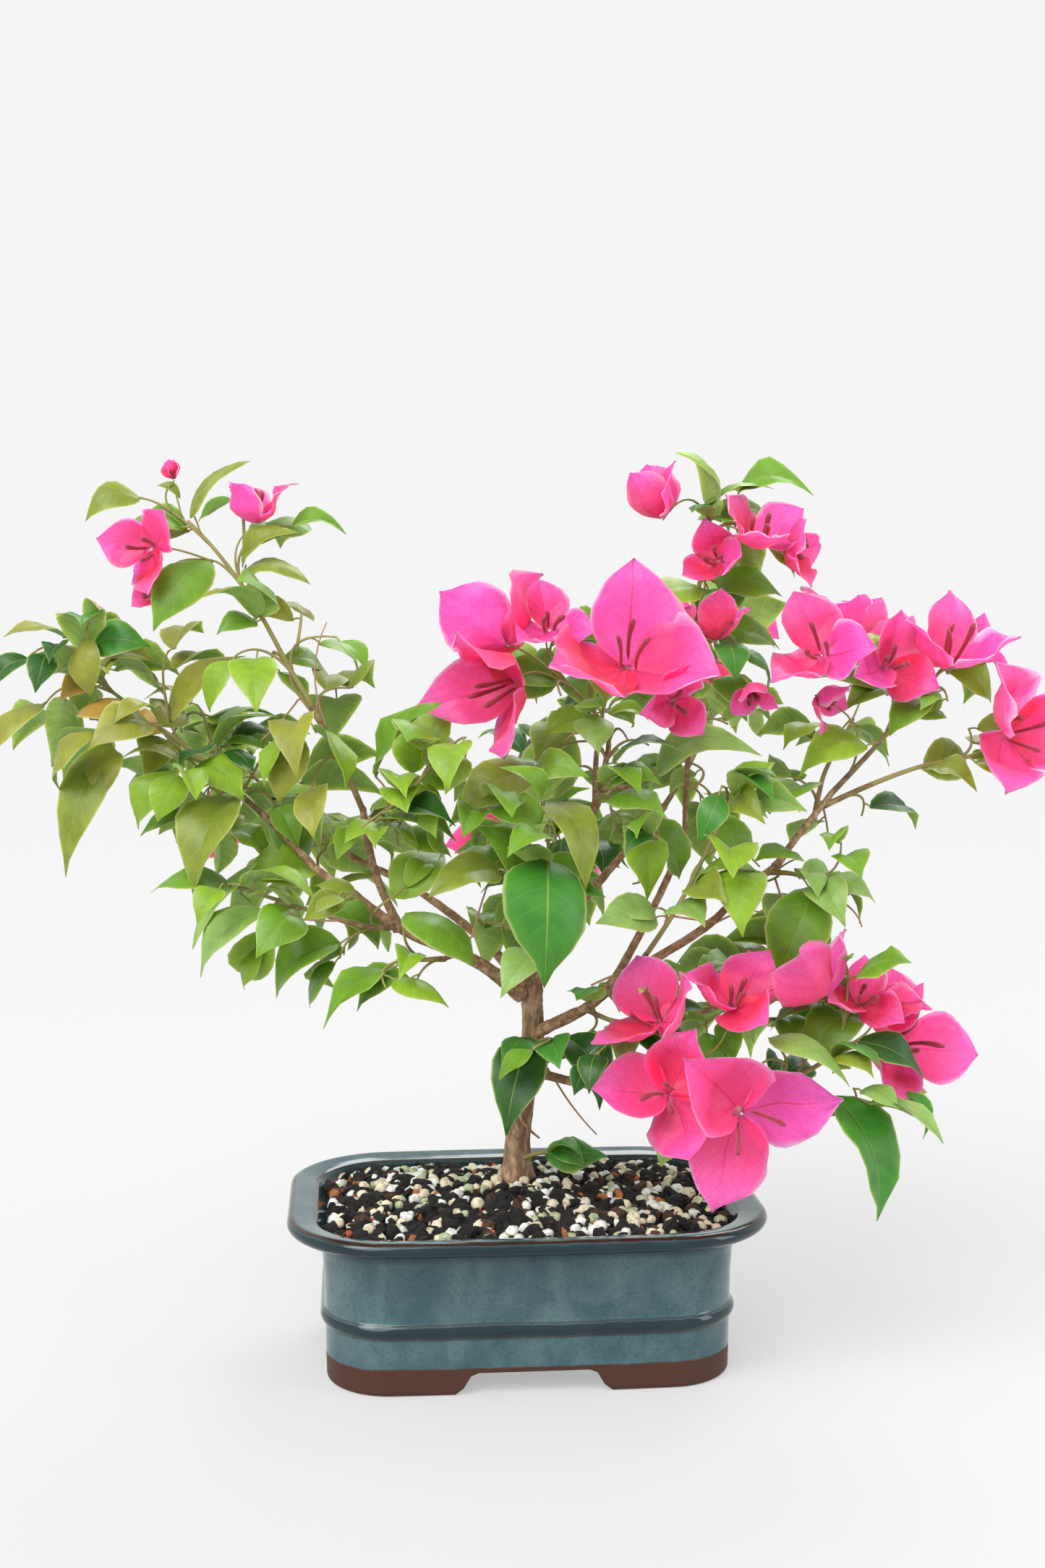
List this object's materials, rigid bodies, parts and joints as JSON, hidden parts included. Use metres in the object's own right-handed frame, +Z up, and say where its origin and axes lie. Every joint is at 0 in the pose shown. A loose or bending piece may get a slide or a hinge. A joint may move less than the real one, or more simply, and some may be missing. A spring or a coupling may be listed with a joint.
{
  "type": "bougainvillea bonsai",
  "caption": "Small flowering bonsai tree with a slim leaning trunk, spreading boughs, papery pink bracts and broad leaves, standing in a shallow oblong glazed pot.",
  "frame": {"origin": "on the table, under the middle of the whole plant's box", "axes": "+Z up, +X along the pot's long side and the plant's greatest spread, -Y towards the pot's front"},
  "size_m": [0.4636, 0.248, 0.374],
  "materials": {
    "pot": "glossy mottled blue-green glaze, brown where it breaks on the edges, over an unglazed brown foot",
    "soil": "loose dry granules of bark, pumice and fired clay",
    "bark": "matt grey-brown bark with shallow cracks and peeling strips",
    "foliage": "satin green leaves, with papery pink bracts round maroon tubes"
  },
  "bodies": {
    "root": {"bough_back_left": "bark", "bough_back_low": "bark", "bough_back_middle": "bark", "bough_back_right": "bark", "bough_centre": "bark", "bough_left": "bark", "bough_left_low": "bark", "bough_left_outer": "bark", "bough_left_tall": "bark", "bough_right_arch": "bark", "bough_right_flower": "bark", "bough_right_low": "bark", "bough_right_outer": "bark", "bough_right_upright": "bark", "foliage_back_arch": "foliage", "foliage_back_left": "foliage", "foliage_back_low": "foliage", "foliage_back_middle": "foliage", "foliage_back_right": "foliage", "foliage_back_top": "foliage", "foliage_centre_front": "foliage", "foliage_centre_low": "foliage", "foliage_centre_right": "foliage", "foliage_centre_top": "foliage", "foliage_front_low": "foliage", "foliage_left_arm": "foliage", "foliage_left_low": "foliage", "foliage_left_middle": "foliage", "foliage_left_top": "foliage", "foliage_left_under": "foliage", "foliage_right_arch": "foliage", "foliage_right_far": "foliage", "foliage_right_hanging": "foliage", "foliage_right_low": "foliage", "foliage_right_middle": "foliage", "foliage_right_top": "foliage", "foliage_right_under": "foliage", "foliage_trunk_foot": "foliage", "pot": "pot", "soil": "soil", "trunk": "bark"}
  },
  "joints": []
}
